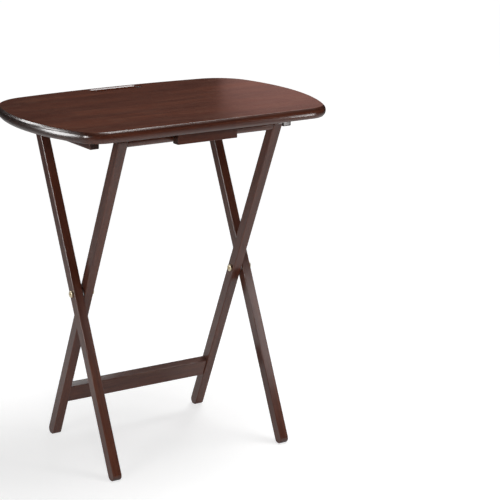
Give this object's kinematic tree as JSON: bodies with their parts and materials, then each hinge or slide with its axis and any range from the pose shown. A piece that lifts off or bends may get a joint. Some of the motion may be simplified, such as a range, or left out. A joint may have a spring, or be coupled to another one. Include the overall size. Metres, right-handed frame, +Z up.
{
  "type": "folding tray table",
  "caption": "Wooden tray table with a rounded rectangular top, a hand slot and crossed legs that fold flat like scissors.",
  "frame": {"origin": "on the floor, under the middle of the top", "axes": "+X along the long side of the top, +Y towards the side with the hand slot, +Z up"},
  "size_m": [0.58, 0.39, 0.655],
  "materials": {
    "top_wood": "dark walnut stain under satin lacquer",
    "frame_wood": "dark walnut stain under satin lacquer",
    "dowel_wood": "bare beech",
    "pivot_brass": "pale brass plating, smooth",
    "screw_steel": "zinc plated"
  },
  "bodies": {
    "outer_frame": {"outer_leg_left": "frame_wood", "outer_leg_right": "frame_wood", "centre_bolt_left": "pivot_brass", "centre_bolt_right": "pivot_brass", "centre_sleeve_nut_left": "pivot_brass", "centre_sleeve_nut_right": "pivot_brass", "centre_washer_left": "screw_steel", "centre_washer_right": "screw_steel"},
    "inner_frame": {"inner_leg_left": "frame_wood", "inner_leg_right": "frame_wood", "top_rail": "frame_wood", "bottom_stretcher": "frame_wood", "stretcher_dowel_left_upper": "dowel_wood", "stretcher_dowel_left_lower": "dowel_wood", "stretcher_dowel_right_upper": "dowel_wood", "stretcher_dowel_right_lower": "dowel_wood"},
    "top_pins": {"top_bolt_left": "pivot_brass", "top_bolt_right": "pivot_brass", "top_sleeve_nut_left": "pivot_brass", "top_sleeve_nut_right": "pivot_brass", "top_washer_left": "screw_steel", "top_washer_right": "screw_steel"},
    "tray_top": {"tray_panel": "top_wood", "batten_left": "frame_wood", "batten_right": "frame_wood", "catch_block": "frame_wood", "batten_screw_left_near": "screw_steel", "batten_screw_left_middle": "screw_steel", "batten_screw_left_far": "screw_steel", "batten_screw_right_near": "screw_steel", "batten_screw_right_middle": "screw_steel", "batten_screw_right_far": "screw_steel", "catch_screw_left": "screw_steel", "catch_screw_right": "screw_steel"}
  },
  "joints": [
    {"name": "legs_fold", "type": "hinge", "parent": "outer_frame", "child": "inner_frame", "pos_m": [0, -0.004, 0.3186], "axis": [-1, 0, 0], "range_deg": [0, 48]},
    {"name": "pin_turn", "type": "hinge", "parent": "outer_frame", "child": "top_pins", "pos_m": [0, 0.13108, 0.622], "axis": [-1, 0, 0], "range_deg": [0, 24]},
    {"name": "top_tilt", "type": "hinge", "parent": "top_pins", "child": "tray_top", "pos_m": [0, 0.13108, 0.622], "axis": [-1, 0, 0], "range_deg": [0, 85]}
  ],
  "couplings": [
    {"joint": "pin_turn", "follows": "legs_fold", "ratio": 0.5}
  ]
}
